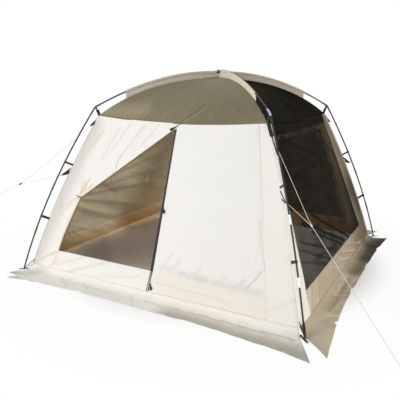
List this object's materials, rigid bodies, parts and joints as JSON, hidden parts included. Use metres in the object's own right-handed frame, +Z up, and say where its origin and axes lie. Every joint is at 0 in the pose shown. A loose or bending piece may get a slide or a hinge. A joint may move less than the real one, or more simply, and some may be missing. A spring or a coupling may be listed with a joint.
{
  "type": "screen tent",
  "caption": "Square screen tent: crossing poles on sectioned legs, dark roof in pole sleeves, pale walls with net openings and zipped flaps, ground skirts and guy lines.",
  "frame": {"origin": "middle of the ground square, on the ground", "axes": "+Z up; -Y out of the front wall with the zipped double door; +X to the right of someone facing the front"},
  "size_m": [4.1417, 4.2118, 2.1107],
  "materials": {
    "pole": "satin",
    "webbing": "matte",
    "sleeve": "matte",
    "roof_cloth": "matte",
    "wall_cloth": "matte",
    "skirt_cloth": "matte",
    "netting": "matte",
    "hardware": "satin",
    "cord": "matte"
  },
  "bodies": {
    "tent": {"leg_lower_front_left": "pole", "leg_middle_front_left": "pole", "leg_upper_front_left": "pole", "foot_strap_front_left": "webbing", "corner_webbing_front_left": "webbing", "pole_sleeve_front_left": "sleeve", "leg_lower_front_right": "pole", "leg_middle_front_right": "pole", "leg_upper_front_right": "pole", "foot_strap_front_right": "webbing", "corner_webbing_front_right": "webbing", "pole_sleeve_front_right": "sleeve", "leg_lower_back_right": "pole", "leg_middle_back_right": "pole", "leg_upper_back_right": "pole", "foot_strap_back_right": "webbing", "corner_webbing_back_right": "webbing", "pole_sleeve_back_right": "sleeve", "leg_lower_back_left": "pole", "leg_middle_back_left": "pole", "leg_upper_back_left": "pole", "foot_strap_back_left": "webbing", "corner_webbing_back_left": "webbing", "pole_sleeve_back_left": "sleeve", "roof_pole_lower": "pole", "roof_pole_upper": "pole", "roof_panel_front": "roof_cloth", "wall_front": "wall_cloth", "skirt_front": "skirt_cloth", "roof_panel_right": "roof_cloth", "wall_right": "wall_cloth", "skirt_right": "skirt_cloth", "roof_panel_back": "roof_cloth", "wall_back": "wall_cloth", "skirt_back": "skirt_cloth", "roof_panel_left": "roof_cloth", "wall_left": "wall_cloth", "skirt_left": "skirt_cloth", "apex_patch": "roof_cloth", "front_net_left_sewn": "netting", "front_net_right": "netting", "right_net": "netting", "back_net": "netting", "left_net": "netting", "front_flap_left_tied": "wall_cloth", "front_flap_right_sewn": "wall_cloth", "right_flap_rolled": "wall_cloth", "guy_bridle_front_left": "cord", "guy_main_front_left": "cord", "guy_bridle_front_right": "cord", "guy_main_front_right": "cord", "guy_runner_front_left": "hardware", "guy_runner_front_right": "cord"},
    "door_flap": {"front_flap_right_free": "wall_cloth"},
    "door_net": {"front_net_left_free": "netting"},
    "left_cover": {"left_flap": "wall_cloth"},
    "back_cover": {"back_flap": "wall_cloth"},
    "upper_slider": {"zip_slider_upper": "hardware"},
    "lower_slider": {"zip_slider_lower": "hardware"},
    "toggle": {"flap_toggle": "hardware"}
  },
  "joints": [
    {"name": "door_flap_fold", "type": "hinge", "parent": "tent", "child": "door_flap", "pos_m": [0.03, -0.97195, 1.5367], "axis": [-0.6021, 0.2648, 0.7532], "range_deg": [0, 100]},
    {"name": "door_net_fold", "type": "hinge", "parent": "tent", "child": "door_net", "pos_m": [-1.15664, -1.42585, 0.23783], "axis": [0.6566, 0.2502, 0.7116], "range_deg": [0, 90]},
    {"name": "left_cover_lift", "type": "hinge", "parent": "tent", "child": "left_cover", "pos_m": [-0.97195, 0, 1.5367], "axis": [0, 1, 0], "range_deg": [0, 95]},
    {"name": "back_cover_lift", "type": "hinge", "parent": "tent", "child": "back_cover", "pos_m": [0, 0.97195, 1.5367], "axis": [1, 0, 0], "range_deg": [0, 95]},
    {"name": "upper_slider_run", "type": "slide", "parent": "door_flap", "child": "upper_slider", "axis": [0, 0.3317, 0.9434], "range_m": [-0.34, 0.66]},
    {"name": "lower_slider_run", "type": "slide", "parent": "door_flap", "child": "lower_slider", "axis": [0, 0.3317, 0.9434], "range_m": [0, 0.24]},
    {"name": "toggle_turn", "type": "hinge", "parent": "tent", "child": "toggle", "pos_m": [-0.985, -1.27731, 0.81258], "axis": [0, -0.9434, 0.3317], "range_deg": [-55, 125]}
  ]
}
